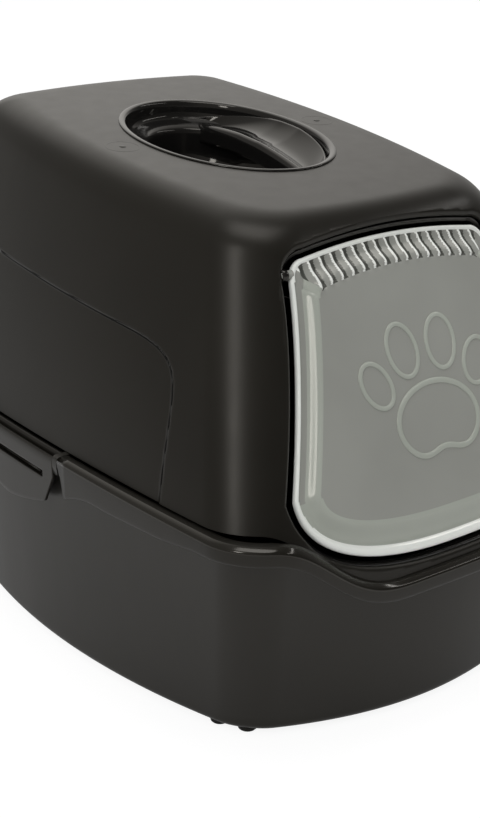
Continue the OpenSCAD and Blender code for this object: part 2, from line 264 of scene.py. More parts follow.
# Profile of the rim from the ledge's inner edge, out over the polished edge, down the band and back up behind it:
# inset, height from the rim line, share of the band's depth, and distance of its two ends from the clip's end.
rim_profile = [(9.2, -0.9, 0, 1), (8.4, -0.1, 0, 1), (7, 0, 0, 1), (4.6, 0, 0, 1), (4.1, -0.1, 0, 1),
               (1.1, -1.8, 0, 1), (0.5, -2.3, 0, 1), (0.1, -3.1, 0, 1), (0, -4, 0, 1), (0, -10.4, 0, 1),
               (0, -11.6, 0, 1.8), (0, -12.6, 0, 4), (0, -14, 0, 5.2), (0, 2.4, 1, 7.8), (0.15, 1.2, 1, 8),
               (0.7, 0.35, 1, 8), (1.5, 0, 1, 8), (2.3, 0.5, 1, 8), (2.6, 1.6, 1, 7.8), (2.6, -14, 0, 5.2),
               (2.6, -12.6, 0, 4), (2.6, -11.6, 0, 1.8), (2.6, -6, 0, 1), (2.9, -4.4, 0, 1), (3.8, -3.4, 0, 1),
               (5.2, -3.2, 0, 1), (9.2, -3.2, 0, 1)]
first_polished, last_polished = 4, 7


def band_depth(y):
    """Depth of the hanging band: 13 mm at the front and back, 21.3 mm along the sides, and up to 9 mm more towards
    the notch beside a clip, growing as the power 1.7 of the share of the last 37 mm."""
    flare = flare_depth * np.clip((flare_from - np.abs(y - clip_y)) / flare_run, 0, 1) ** 1.7
    return np.interp(y, band_y, band_drop) + flare


def rim_path(inset, away, front):
    """Part of the rim outline beyond the clip, towards the front or the back. Its two ends lie `away` from the
    clip's middle."""
    ring, plan = rim_ring(inset), rim_plan
    if not front:
        leftmost = np.argmin(ring[:, 0])
        ring, plan = np.roll(ring, -leftmost - 1, axis=0), np.roll(plan, -leftmost - 1, axis=0)
    clear = clip_half + 9
    keep = plan[:, 1] < clip_y - clear if front else plan[:, 1] > clip_y + clear
    y_cut = clip_y + (-away if front else away)
    x_cut = rim_half - inset - side_bow(y_cut)
    ends = np.array([[-x_cut, y_cut], [x_cut, y_cut]])
    ends = ends if front else ends[::-1]
    return np.concatenate([ends[:1], ring[keep], ends[1:]])


def rim_strip(front):
    """The ledge and its hanging band: the hook-shaped rim profile swept along the rim. Where the band is shallow,
    the part of the profile that widens the notch beside a clip is drawn up in proportion."""
    rows = []
    for inset, height, hangs, away in rim_profile:
        plan = rim_path(inset, clip_half + away, front)
        line = dip(plan[:, 0] * rim_half / (rim_half - inset), plan[:, 1])
        depth = band_depth(plan[:, 1])
        low = np.where(depth < 18, height * depth / 24, height) if height < -10 else height
        rows.append(level(plan, line + low - hangs * depth))
    return swept(np.swapaxes(np.array(rows), 0, 1))


def prism(outline, start, end, flip=False):
    """Closed part: a flat outline of (x, z) points carried straight along the box from y = start to y = end."""
    rows = [np.column_stack([outline[:, 0], np.full(len(outline), at), outline[:, 1]]) for at in (start, end)]
    return swept(rows, flip=flip)


bead_profile = np.array([(-1.5, -2.2), (0, -2.2), (2.2, 0.4), (2.6, 0.9), (2.6, 2.7), (2.2, 3.4), (0, 5.4),
                         (-1.5, 5.4)])
bead_x, bead_z, bead_half = 188.8, 145.0, 40.0
beads = [prism(bead_profile * [side, 1] + [side * bead_x, bead_z], clip_y - bead_half, clip_y + bead_half,
               flip=side > 0) for side in (-1, 1)]
charcoal_colour = (0.0120, 0.0108, 0.0085)
charcoal = plastic("charcoal_polypropylene", charcoal_colour, 0.33, 0.34, 0.9, 0.03)
tray_parts = [tray_bowl, rim_strip(True), rim_strip(False)] + beads
tray = solid("tray_moulding", tray_parts, charcoal)
tray.data.materials.append(plastic("charcoal_polished_edge", charcoal_colour, 0.14, 0.5, 0.9, 0.01))
kinds = [np.zeros(len(quads) + len(polygons), int) for _, quads, polygons in tray_parts]
for kind, (_, quads, _) in zip(kinds[1:3], tray_parts[1:3]):
    column = np.arange(len(quads)) % len(rim_profile)
    kind[:len(quads)] = (column >= first_polished) & (column <= last_polished)
tray.data.polygons.foreach_set("material_index", np.concatenate(kinds))
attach(tray, "tray")
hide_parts("base_tray")

# ------------------------------------------------------------
# Feet. Small round pads of black rubber, pressed under the corners of the base in pairs so that the box doesn't
# slide on a smooth floor. Each is a low drum with a rounded lower edge.
# ------------------------------------------------------------
foot_r = 7.0
foot_spots = ((144, 185), (134, 204))
foot_profile = np.array([(0.35, 0), (0.75, 0), (0.88, 0.25), (0.97, 0.9), (1, 1.8), (1, 3.2), (1, 4.4)])
spin = np.linspace(0, 2 * np.pi, 40, endpoint=False)
round_plan = np.stack([np.cos(spin), np.sin(spin)], 1)
drums = [bowl([level(round_plan * foot_r * r + [side_x * spot_x, side_y * spot_y], z) for r, z in foot_profile])
         for spot_x, spot_y in foot_spots for side_x in (-1, 1) for side_y in (-1, 1)]
rubber = plastic("black_rubber", (0.014, 0.0138, 0.013), 0.6, 0.25, 0.6, 0.05)
feet = solid("rubber_feet", drums, rubber)
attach(feet, "tray")
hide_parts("feet")

# ------------------------------------------------------------
# Hood. One moulding of the same charcoal plastic: bowed walls that lean in to a sloping roof with a broad rounded
# edge, a doorway in the leaning front, an oval hole for the handle, a sunk panel low on each side and four lugs.
# ------------------------------------------------------------
roof_z, roof_y, roof_slope, roof_r = 370.8, 2, 0.114, 32.0
roof_half, roof_back, roof_front, roof_bow, roof_end_bow = 106, 163, 168, 19, 9
roof_start = 18
skirt_z, foot_z = 104, 162
grip_y, grip_half = 4, np.array([74.0, 100.0])
grip_hole = grip_half - 4
wall_shares = spaced((0, 0.03, 4), (0.03, 0.48, 40), (0.48, 0.66, 32), (0.66, 1, 10))


def roof_rise(plan):
    """How far the roof has risen over plan points: 0.114 for each millimetre behind y = 2, where it is at roof_z."""
    return roof_slope * (plan[:, 1] - roof_y)


def roof_ring(angle, inset):
    """One ring of the rounded roof edge, tilted with the roof: at `angle` from the wall it stands 32 cos(angle) out
    from the flat roof and 32 (1 - sin(angle)) below it. Its corners grow with it."""
    out, drop = roof_r * math.cos(angle), roof_r * (1 - math.sin(angle))
    shrink = inset * math.cos(angle)
    plan = bowed_ring(roof_half + out - shrink, roof_back + out - shrink, roof_front + out - shrink, roof_bow,
                      roof_end_bow, max(24 + out / 2 - shrink, 4), max(12 + out / 5 - shrink, 4))
    return level(plan, roof_z - drop - inset * math.sin(angle) + roof_rise(plan))


# Edge of the sunk side panel as (y, z) points, from the back over the front corner down to the rim.
panel_edge = np.array([(118, 286), (6, 277), (-60, 272), (-95, 269.5), (-113, 267.5), (-127, 264.5), (-138, 260),
                       (-146, 253.5), (-151, 245), (-154.5, 234), (-159, 212), (-163, 192), (-168, 172),
                       (-175, 140)], float)
panel_sunk, panel_step = 1.4, 2.4


def panel_depth(points):
    """Depth of the sunk side panel at each point: 1.4 mm inside a smooth step 2.4 mm wide along the panel's edge.
    The depth fades out between 104 and 128 mm behind the middle."""
    p = points[:, 1:3]
    a, b = panel_edge[:-1], panel_edge[1:]
    run = b - a
    t = np.clip(((p[:, None] - a) * run).sum(-1) / (run ** 2).sum(-1), 0, 1)
    gap = p[:, None] - (a + t[..., None] * run)
    distance = np.sqrt((gap ** 2).sum(-1))
    nearest = distance.argmin(1)
    rows = np.arange(len(p))
    cross = run[nearest, 0] * gap[rows, nearest, 1] - run[nearest, 1] * gap[rows, nearest, 0]
    signed = np.where(cross > 0, 1, -1) * distance[rows, nearest]
    step = np.clip(signed / panel_step + 0.5, 0, 1)
    back_fade = np.clip((128 - p[:, 0]) / 24, 0, 1)
    on_side = np.abs(points[:, 0]) > 90
    return panel_sunk * step * step * (3 - 2 * step) * back_fade * on_side


def hood_rings(inset):
    """Rings of one face of the hood, from its lower edge over the wall and the roof edge to the oval handle hole.
    Wall points lie on straight lines from the skirt to the foot level and on to the start of the roof edge, 18
    degrees up its rounding. The flat roof blends evenly from its own outline to the hole."""
    skirt = level(bowed_ring(192 - inset, 276 - inset, 278 - inset, 13, 8, 42 - inset), skirt_z)
    foot = level(bowed_ring(190 - inset, 264 - inset, 272 - inset, 13, 5, 42 - inset), foot_z)
    top = roof_ring(math.radians(roof_start), inset)
    edge_z = dip(foot[:, 0], foot[:, 1]) + 0.3
    z = edge_z + (top[:, 2] - edge_z) * wall_shares[:, None]
    low = ((z - skirt_z) / (foot_z - skirt_z))[..., None]
    high = ((z - foot_z) / (top[:, 2] - foot_z))[..., None]
    walls = np.where(low < 1, skirt + (foot - skirt) * low, foot + (top - foot) * high)
    rows = list(walls) + [roof_ring(math.radians(a), inset) for a in np.linspace(roof_start, 90, 15)[1:]]
    flat = rows[-1]
    angle = np.arctan2((flat[:, 1] - grip_y) / grip_half[1], flat[:, 0] / grip_half[0])
    hole = np.stack([grip_hole[0] * np.cos(angle), grip_y + grip_hole[1] * np.sin(angle)], 1)
    for share in np.linspace(0, 1, 16)[1:]:
        plan = flat[:, :2] * (1 - share) + hole * share
        rows.append(level(plan, roof_z - inset + roof_rise(plan)))
    return np.array(rows)


outer = hood_rings(0)
walls = outer[:len(wall_shares)].reshape(-1, 3)
walls[:, 0] -= np.sign(walls[:, 0]) * panel_depth(walls)
inner = hood_rings(wall)
inner = np.concatenate([inner[:-1:8], inner[-1:]])
hood_part = looped(np.concatenate([outer, inner[::-1]]))
lug_half, lug_away = 3.05, 71.6


def lug(side, y):
    """Hinge lug of a clip: a tongue under the hood's foot, 6.1 mm thick, flush with the clip and the tray's band and
    bowed with the side. Its lower end is an arc of an ellipse, 3.0 by 3.2 mm."""
    a = np.radians(np.linspace(180, 320, 11))
    outline = np.concatenate([np.stack([193.3 + 3.0 * np.cos(a), 159.8 + 3.2 * np.sin(a)], 1),
                              [(196.3, 163), (196.3, 168.6), (195.5, 170.6), (193.6, 171.6), (185, 171.8),
                               (185, 170), (190.3, 169.8)]])
    outline[:, 0] += 0.6 - side_bow(y)
    return prism(outline * [side, 1], y - lug_half, y + lug_half, flip=side > 0)


lugs = [lug(side, clip_y + end * lug_away) for side in (-1, 1) for end in (-1, 1)]
hood = solid("hood_moulding", [hood_part], charcoal)

hinge_y, hinge_z, lean = -186.5, 317.0, math.radians(24.2)
flap_top, flap_foot, flap_corner, arch_rise = 15, -200, 12.5, 6
narrow_v, narrow_half, wide_v, wide_half = 9, 88.0, -143.0, 129.0


def flap_half(v):
    """Half width of the flap at the level v from the hinge: 88 mm down to v = 9, then growing by a power 1.42 curve
    to 129 mm at v = -143."""
    return narrow_half + (wide_half - narrow_half) * np.maximum((narrow_v - v) / (narrow_v - wide_v), 0) ** 1.42


def door_ring(grow, top, foot, corner):
    """Outline in the door plane as (across, up) points, clockwise from the upper left. The top is a shallow arch
    6 mm high, the sides follow flap_half, and the foot is a superellipse of exponent 2.4."""
    shoulder = top - arch_rise
    half = flap_half(shoulder) + grow - corner
    x = np.linspace(-1, 1, 240)
    arch = np.stack([x * half, top - arch_rise * x ** 2], 1)
    a = np.radians(np.linspace(90, 0, 32)[1:-1])
    bend = np.stack([half + corner * np.cos(a), shoulder - corner + corner * np.sin(a)], 1)
    v = np.linspace(shoulder - corner, wide_v, 46)
    side = np.stack([flap_half(v) + grow, v], 1)
    b = np.linspace(0, np.pi, 112)[1:-1]
    round_foot = np.stack([(wide_half + grow) * np.sign(np.cos(b)) * np.abs(np.cos(b)) ** (2 / 2.4),
                           wide_v + (foot - wide_v) * np.sin(b) ** (2 / 2.4)], 1)
    return np.concatenate([arch, bend, side, round_foot, (side * [-1, 1])[::-1], (bend * [-1, 1])[::-1]])


def outline_at(grow):
    """The flap's outline in the door plane, moved out by `grow`."""
    return door_ring(grow, flap_top + grow, flap_foot - grow, flap_corner + grow)


def door_space(plan, out):
    """Points of the door plane in space: across is X, up follows the leaning plane, out is its normal."""
    plan = np.asarray(plan)
    out = np.broadcast_to(out, plan.shape[:-1])
    across, up = plan[..., 0], plan[..., 1]
    y = hinge_y + up * math.sin(lean) - out * math.cos(lean)
    z = hinge_z + up * math.cos(lean) + out * math.sin(lean)
    return np.stack([across, y, z], -1)


skin = BVHTree.FromPolygons([Vector(p) for p in outer.reshape(-1, 3)],
                            grid_faces(len(outer), outer.shape[1]).tolist())
normal = Vector((0, -math.cos(lean), math.sin(lean)))


def panel_line(side):
    """Painted shade in the panel's step: a dark ribbon 2.6 mm wide, standing for the shade that falls there, that lies
    on the wall from 90 mm behind the middle, round the corner and down to the rim. Its path is the panel's edge,
    averaged over 12 mm."""
    length = np.concatenate([[0], np.cumsum(np.linalg.norm(np.diff(panel_edge, axis=0), axis=1))])
    at = np.arange(22, length[-1], 1.5)
    path = np.stack([np.interp(at, length, panel_edge[:, i]) for i in (0, 1)], 1)
    window = np.ones(9) / 9
    path = np.stack([np.convolve(path[:, i], window, "valid") for i in (0, 1)], 1)
    path = path[path[:, 1] > rim_z + 0.5]
    along = np.gradient(path, axis=0)
    across = np.stack([-along[:, 1], along[:, 0]], 1) / np.linalg.norm(along, axis=1)[:, None]
    rows = []
    for step, lift in ((-1.3, 0.05), (0, 0.06), (1.3, 0.05), (1.3, -0.9), (-1.3, -0.9)):
        row = []
        for y, z in path + across * step:
            hit = skin.ray_cast(Vector((side * 400, y, z)), Vector((-side, 0, 0)))[0]
            row.append((hit.x + side * lift, y, z))
        rows.append(row)
    return swept(np.swapaxes(np.array(rows), 0, 1), flip=side > 0)


def hood_height(plan):
    """How far out of the door plane the hood's surface lies over each point of an outline, by a ray straight in. A
    point whose ray misses takes its height from its neighbours."""
    heights = []
    for p in door_space(plan, clear_of_hood):
        hit = skin.ray_cast(Vector(p), -normal)
        heights.append(clear_of_hood - hit[3] if hit[0] is not None else np.nan)
    heights = np.array(heights)
    known = ~np.isnan(heights)
    return np.interp(np.arange(len(heights)), np.nonzero(known)[0], heights[known])


# The doorway is cut with a rounded mouth: each ring of the cutter is (growth of the outline, height over the hood).
clear_of_hood, inside_hood = 60.0, -26.0
doorway_height = hood_height(outline_at(11))
cutter_rows = [door_space(outline_at(6), inside_hood)]
cutter_rows += [door_space(outline_at(grow), doorway_height + over)
                for grow, over in ((6, -2.6), (6.3, -1.4), (7, -0.5), (8.4, 0.2), (12, 1.2))]
cutter_rows.append(door_space(outline_at(12), clear_of_hood))
cutter = solid("doorway_cutter", [bowl(np.array(cutter_rows), flip=True)], charcoal)
cut = hood.modifiers.new("doorway", "BOOLEAN")
cut.object, cut.operation, cut.solver = cutter, "DIFFERENCE", "EXACT"
bpy.context.view_layer.update()
cut_mesh = bpy.data.meshes.new_from_object(hood.evaluated_get(bpy.context.evaluated_depsgraph_get()))
hood.modifiers.clear()
hood.data = cut_mesh
bpy.data.objects.remove(cutter)
hood.data.set_sharp_from_angle(angle=math.radians(38))


def roof_circles(side, profile):
    """Circles on the roof beside the handle, one for each (radius, height over the roof)."""
    plans = [round_plan * r + [side * 92, 6] for r, _ in profile]
    return [level(plan, roof_z + roof_rise(plan) + height) for plan, (_, height) in zip(plans, profile)]


roof_marks = []
for side in (-1, 1):
    ring_profile = [(13.2, -0.5), (13.2, 0.02), (12.5, 0.14), (11.8, 0.02), (11.8, -0.5)]
    roof_marks.append(looped(roof_circles(side, ring_profile)))
    roof_marks.append(bowl(roof_circles(side, [(2.6, -0.5), (2.6, 0.1), (2, 0.35), (1, 0.4)])))
hood_lugs = solid("hood_clip_lugs", lugs + roof_marks, charcoal)
hood_lugs.data.set_sharp_from_angle(angle=math.radians(40))
# Near-black for the painted shade line that stands for the shade in the panel's step.
painted_shade_black = plastic("charcoal_painted_shade_line", (0.004, 0.0038, 0.0032), 0.5, 0.06, 0.9, 0.03)
hood_shade_line = solid("hood_panel_painted_shade_line", [panel_line(side) for side in (-1, 1)], painted_shade_black)
for piece in (hood, hood_lugs, hood_shade_line):
    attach(piece, "hood")
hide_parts("hood")

# ------------------------------------------------------------
# Handle insert. A separate high-gloss black moulding snapped into the oval hole of the roof: a flat flange, a deep
# hand pocket with a shelf at its back and left, and, over its right half, a dished grip plate whose free edge turns
# down as a finger lip.
# ------------------------------------------------------------
oval_turn = np.linspace(0, 2 * np.pi, 160, endpoint=False)
oval_unit = np.stack([np.cos(oval_turn), np.sin(oval_turn)], 1)
roof_tilt = math.atan(roof_slope)


def oval(grow):
    """The flange's ellipse, 74 by 100 mm in its half widths, moved out by `grow`."""
    return oval_unit * (grip_half + grow)


def roof_space(plan, out):
    """Points over the roof plane in space, at the height `out` along its normal, about the middle of the handle."""
    plan = np.asarray(plan)
    out = np.broadcast_to(out, plan.shape[:-1])
    y = grip_y + plan[..., 1] * math.cos(roof_tilt) - out * math.sin(roof_tilt)
    z = roof_z + roof_slope * (grip_y - roof_y) + plan[..., 1] * math.sin(roof_tilt) + out * math.cos(roof_tilt)
    return np.stack([plan[..., 0], y, z], -1)


# The cup's profile, from under its floor over the flange to its inner floor: (growth of the oval, height over the
# roof), and for the inside also the share of the shelf that narrows the oval there.
cup_outside = [(-60, -50), (-40, -50), (-22, -49.2), (-13, -46.5), (-7.6, -40), (-5.6, -30), (-4.8, -16), (-4.4, -4),
               (-4.3, -0.2), (-0.3, 0), (0, 0.3), (-0.3, 0.8), (-1, 1.15), (-2.2, 1.2), (-4, 0.9), (-5.2, 0.3),
               (-5.9, -0.9), (-6.3, -3), (-6.7, -7), (-7, -10)]
cup_shelf = [(-7.2, -11.6, 0.05), (-7.5, -13, 0.18), (-7.8, -14.3, 0.4), (-8, -15.6, 0.65), (-8.2, -16.8, 0.88),
             (-8.4, -17.5, 0.96), (-8.6, -18.8, 1), (-9, -22, 1), (-10, -33, 1), (-13, -41, 0.9), (-19, -45.5, 0.7),
             (-29, -47, 0.3), (-45, -47, 0), (-60, -47, 0)]
shelf_w = 15
shelf = shelf_w * np.clip((np.sin(oval_turn - 0.42) + 0.42) / 0.5, 0, 1)[:, None] ** 0.7
cup = bowl([roof_space(oval(g), z) for g, z in cup_outside]
           + [roof_space(oval(g - shelf * share), z) for g, z, share in cup_shelf])
handle_black = plastic("gloss_black", (0.010, 0.0095, 0.009), 0.075, 0.5, 40, 0.02, fleck=0.2)
handle = solid("handle_cup", [cup], handle_black)
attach(handle, "hood")
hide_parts("handle_insert")

grip_depth, lip_r, lip_drop = 9.2, 2.4, 10.0
pocket_half = grip_half - 6.5


def grip_edge(y):
    """Free edge of the grip plate across the pocket: x = 26 - 14 ((y + 10) / 100)^2, and towards the back it swings
    20 mm to the wall."""
    swing = np.clip((y + 10) / 100, 0, 1)
    return 26 - 14 * ((y + 10) / grip_half[1]) ** 2 + 20 * swing * swing


def sheet(x, y, z):
    """Grid of points from arrays of x, y and z that are spread to the same rows and columns."""
    return np.stack(np.broadcast_arrays(x, y, z), -1)


def grip_sheet():
    """The grip plate as a sheet of (s, t) points: t runs along the free edge, s from the lip over the plate to the
    wall. The lip drops from a rounded edge. The plate dishes by the sine of its run, climbs to the wall, and lies
    deeper towards its two ends, most at the back."""
    t = np.linspace(-0.985, 0.985, 90)
    wall_x = pocket_half[0] * np.sqrt(1 - t ** 2)
    y = t * pocket_half[1]
    free = np.minimum(grip_edge(y), wall_x - 2)
    deeper = 9 * np.clip((t - 0.15) / 0.75, 0, 1) ** 1.4 + 4 * np.clip((-t - 0.1) / 0.6, 0, 1)
    run = np.linspace(0, 1, 40)[:, None]
    plate = sheet(free + (wall_x - free) * run, y,
                  -grip_depth - 4.5 * np.sin(np.pi * run ** 0.8) + 6.5 * run ** 3 - deeper)
    bend = np.radians(np.linspace(10, 90, 7))[::-1, None]
    edge = sheet(free - lip_r * np.sin(bend), y, -grip_depth - lip_r * (1 - np.cos(bend)) - deeper)
    drop = np.linspace(1, 0, 6)[:-1, None]
    lip = sheet(free - lip_r - 0.8 * drop, y, -grip_depth - lip_r - lip_drop * drop - deeper)
    rows = np.concatenate([lip, edge, plate])
    return roof_space(rows[..., :2], rows[..., 2])


grip_rows = grip_sheet()
grip_quads = grid_faces(*grip_rows.shape[:2], wrap_cols=False)
grip = solid("handle_grip", [(grip_rows, grip_quads, [])], handle_black)
thick = grip.modifiers.new("thickness", "SOLIDIFY")
thick.thickness, thick.offset, thick.use_rim = 0.0024, -1, True
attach(grip, "hood")

# ------------------------------------------------------------
# Door frame. A smooth black ring snapped into the doorway from inside. It holds the two blind bearings of the
# flap as bored bosses, stops the litter at the sill and leaves an even gap around the flap.
# ------------------------------------------------------------
# Profile of the ring: (growth of the outline, height from the door plane, share of the hood's height over the plane).
frame_profile = ((7.4, -6.4, 0), (5.9, -6, 0), (5.9, -4.8, 1), (5.6, -4.2, 1), (5.1, -4, 1), (4.6, -4.3, 1),
                 (4.1, -5, 1), (3.2, -5.6, 1), (2.8, -6.2, 1), (2.6, -7, 0.6), (2.6, -7.6, 0), (6.6, -7.6, 0))
frame_height = np.clip(doorway_height, 0, 9)
frame_rows = [door_space(outline_at(grow), base + rise * frame_height) for grow, base, rise in frame_profile]
frame_black = plastic("satin_black", (0.009, 0.0085, 0.008), 0.14, 0.5, 1.2, 0.01)


def around_hinge(side, profile):
    """Circles about the flap's hinge line, one for each (distance from the middle, radius), seen the same way round
    from their own end."""
    return [door_space(np.stack([np.full(len(spin), side * at), r * np.cos(spin) * side], 1), r * np.sin(spin))
            for at, r in profile]


boss = [(95.5, 3.2), (91, 3.2), (90.7, 3.35), (90.6, 3.6), (90.8, 3.9), (91.3, 4), (95.5, 4)]
bosses = [looped(around_hinge(side, boss)) for side in (-1, 1)]
door_frame = solid("door_ring", [looped(frame_rows, flip=True)] + bosses, frame_black)
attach(door_frame, "hood")
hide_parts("door_frame")

# ------------------------------------------------------------
# Door flap. One see-through smoke-grey moulding: a bead all round, a raised inner panel with sloping sides, a row of
# scalloped flutes under the top edge and two short pins that snap into the frame. The bead and the flutes' crests carry
# a painted highlight, the flutes' bottoms painted shade, and the ramp, the foot and the paw relief a lighter painted
# light.
# ------------------------------------------------------------
flutes = 18
panel_up, crown_rise, panel_middle = 6.8, 0.5, np.array([0.0, -92.0])
bead_r, field_up = 2.5, 1.2
low_from, low_to = 130, 175


def blend_to(value, low, high):
    """Smooth step from 0 at low to 1 at high."""
    t = np.clip((value - low) / (high - low), 0, 1)
    return t * t * (3 - 2 * t)


def half_round(r):
    """Height of the flap's bead over its width, r from 0 to 1: a half circle raised to the power 0.8."""
    return bead_r * np.sqrt(np.clip(1 - (2 * r - 1) ** 2, 0, 1)) ** 0.8


def flap_face():
    """The front of the flap, ring by ring: q runs from the outline to the edge of the panel, then s shrinks the
    panel's outline to its middle. The height is a half-round bead, a sunk field, and a ramp up to the panel. Under
    the top edge upright flutes cut the ramp, 18 to the width, each rising slowly and falling fast."""
    edge, panel = outline_at(0.0), door_ring(-17.0, -6.0, -176.0, 8.0)
    q = np.concatenate([[0.0, 0.012, 0.035, 0.07, 0.115, 0.16, 0.2, 0.235, 0.27, 0.31], np.linspace(0.36, 1.06, 22)])
    plan = edge * (1 - q[:, None, None]) + panel * q[:, None, None]
    above = np.clip((edge[:, 1] + 4) / 10, 0, 1)
    below = blend_to(-edge[:, 1], low_from, low_to)
    bead_w = 0.2 + 0.09 * below - 0.03 * above
    r = np.clip(q[:, None] / bead_w, 0, 1)
    field = field_up * blend_to(r, 0.45, 1)
    ramp_from, ramp_to = 0.44 - 0.08 * below - 0.14 * above, 0.92 + 0.08 * np.maximum(below, above)
    height = np.maximum(half_round(r), field) + panel_up * blend_to(q[:, None], ramp_from, ramp_to)
    phase = (plan[..., 0] / (2 * narrow_half) + 0.5) * flutes % 1.0
    tooth = np.where(phase < 0.7, (phase / 0.7) ** 1.5, (1 - phase) / 0.3)
    reach = blend_to(q[:, None], 0.16, 0.26) * (1 - blend_to(q[:, None], 0.97, 1.05))
    height = height + above * reach * (3.6 * tooth - 1.6)
    s = np.linspace(1, 0, 26)[1:-1, None, None]
    middle = panel_middle + (plan[-1] - panel_middle) * s
    crown = field_up + panel_up + crown_rise * (1 - s[..., 0] ** 2) * np.ones(len(edge))
    return np.concatenate([plan, middle]), np.concatenate([height, crown])


def flap_back():
    """The back of the flap: the other half of the round bead, a flat field, and a hollow behind the raised panel."""
    edge, panel = outline_at(0.0), door_ring(-19.4, -8.4, -173.6, 7.0)
    q = np.array([0.0, 0.012, 0.035, 0.07, 0.115, 0.16, 0.2, 0.3, 0.5, 0.65, 0.8, 0.9, 1.0])
    plan = edge * (1 - q[:, None, None]) + panel * q[:, None, None]
    r = np.clip(q / 0.2, 0, 1)[:, None]
    field = np.minimum(-half_round(r), -field_up * blend_to(r, 0.45, 1))
    height = (field + panel_up * blend_to(q[:, None], 0.55, 1.0)) * np.ones(len(edge))
    s = np.linspace(1, 0, 8)[1:-1, None, None]
    middle = panel_middle + (panel - panel_middle) * s
    crown = panel_up - field_up + crown_rise * (1 - s[..., 0] ** 2) * np.ones(len(edge))
    return np.concatenate([plan, middle])[1:], np.concatenate([height, crown])[1:]


front_plan, front_out = flap_face()
back_plan, back_out = flap_back()
flap_rows = np.concatenate([door_space(back_plan, back_out)[::-1], door_space(front_plan, front_out)])
smoke = plastic("smoke_clear", (0.385, 0.39, 0.358), 0.14, 0.5, 60, 0.03, fleck=0.05, alpha=0.9)
# Painted light: a lighter, slightly less clear tone for the ramp and the foot of the flap and for the paw relief.
smoke_painted_lit = plastic("smoke_clear_painted_lit", (0.46, 0.485, 0.43), 0.14, 0.5, 60, 0.03, fleck=0.05, alpha=0.94)
# Painted highlight: a near-white tone for the bead and the flutes' crests.
smoke_painted_highlight = plastic("smoke_clear_painted_highlight", (0.96, 0.98, 0.93), 0.1, 0.55, 60, 0.02, fleck=0.04)
pin = [(86, 2.9), (87.5, 3), (94.9, 3), (95.5, 2.4)]
pins = [bowl(around_hinge(side, pin)) for side in (-1, 1)]
flap = solid("flap_moulding", [bowl(flap_rows, flip=True)] + pins, smoke)
# Painted shade: a near-black tone for the bottoms of the flutes.
smoke_painted_shade = plastic("smoke_clear_painted_shade", (0.085, 0.088, 0.078), 0.14, 0.5, 60, 0.03, fleck=0.05)
for shade in (smoke_painted_lit, smoke_painted_highlight, smoke_painted_shade):
    flap.data.materials.append(shade)

# Each face takes a painted tone by its place: the bead and the flutes' crests get a painted highlight, the flutes'
# bottoms get painted shade, and the ramp and the whole foot of the flap get a lighter tone of painted light. The rings
# run from the back to the front.
ring_size = flap_rows.shape[1]
ring_of, place_of = np.divmod(np.arange((len(flap_rows) - 1) * ring_size), ring_size)
front_ring = ring_of - len(back_plan)
bead_end, ramp_start, ramp_end, panel_start = 5, 13, 29, 31
outline = outline_at(0.0)[place_of]
low_part = blend_to(-outline[:, 1], low_from, low_to)
face_x = flap_rows[ring_of, place_of, 0] + flap_rows[ring_of + 1, (place_of + 1) % ring_size, 0]
flute = (face_x / (4 * narrow_half) + 0.5) * flutes % 1.0
before_panel = front_ring < panel_start
fluted = (outline[:, 1] > 5) & (front_ring >= bead_end) & before_panel
is_bead = (front_ring > -4) & (front_ring < bead_end + 3.5 * low_part)
is_crest = fluted & (flute > 0.58) & (flute < 0.78)
is_painted_shade = fluted & ((flute >= 0.78) | (flute < 0.22))
is_painted_lit = (front_ring > -10) & before_panel & (low_part > 0.3) | (front_ring > ramp_start) & (front_ring < ramp_end)
kinds = np.zeros(len(flap.data.polygons), int)
kinds[:len(ring_of)] = np.select([is_bead | is_crest, is_painted_shade, is_painted_lit & ~fluted], [2, 3, 1], 0)
flap.data.polygons.foreach_set("material_index", kinds)


def relief_band(centre, half, width, turn_by=0.0, squeeze=0.0):
    """A raised line along an ellipse on the panel: a low half-round profile carried round it. `squeeze` lifts the
    lower middle of the ellipse by a bell curve, which gives the heel of a paw."""
    a = np.linspace(0, 2 * np.pi, 72, endpoint=False)
    u, w = half[0] * np.cos(a), half[1] * np.sin(a)
    w = w + squeeze * np.exp(-(u / (0.42 * half[0])) ** 2) * (np.sin(a) < 0)
    c, s = math.cos(turn_by), math.sin(turn_by)
    path = np.stack([centre[0] + c * u - s * w, centre[1] + s * u + c * w], 1)
    along = np.roll(path, -1, 0) - np.roll(path, 1, 0)
    along /= np.linalg.norm(along, axis=1)[:, None]
    side = np.stack([along[:, 1], -along[:, 0]], 1)
    b = np.linspace(0, np.pi, 9)
    across = np.concatenate([width / 2 * np.cos(b), [-width / 2, width / 2]])
    up = np.concatenate([0.95 * np.sin(b) ** 0.8, [-0.8, -0.8]])
    plan = path[:, None] + side[:, None] * across[None, :, None]
    from_middle = np.hypot(plan[..., 0] / 100, (plan[..., 1] - panel_middle[1]) / 84)
    panel_height = field_up + panel_up + crown_rise * (1 - np.clip(from_middle, 0, 1) ** 2)
    return looped(door_space(plan, panel_height + up), flip=True)


toes = (((46, -85), (11.5, 16.5), 0.42), ((17.5, -66), (12.5, 18.5), 0.12))
paw = [relief_band((0, -118), (36, 27), 4.2, squeeze=9.0)]
paw += [relief_band((side * x, v), half, 3.4, turn_by=-side * tilt) for (x, v), half, tilt in toes for side in (-1, 1)]
# The paw relief takes the lighter tone of painted light.
paw_relief = solid("flap_paw_relief", paw, smoke_painted_lit)
for piece in (flap, paw_relief):
    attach(piece, "flap")
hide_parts("door_flap")

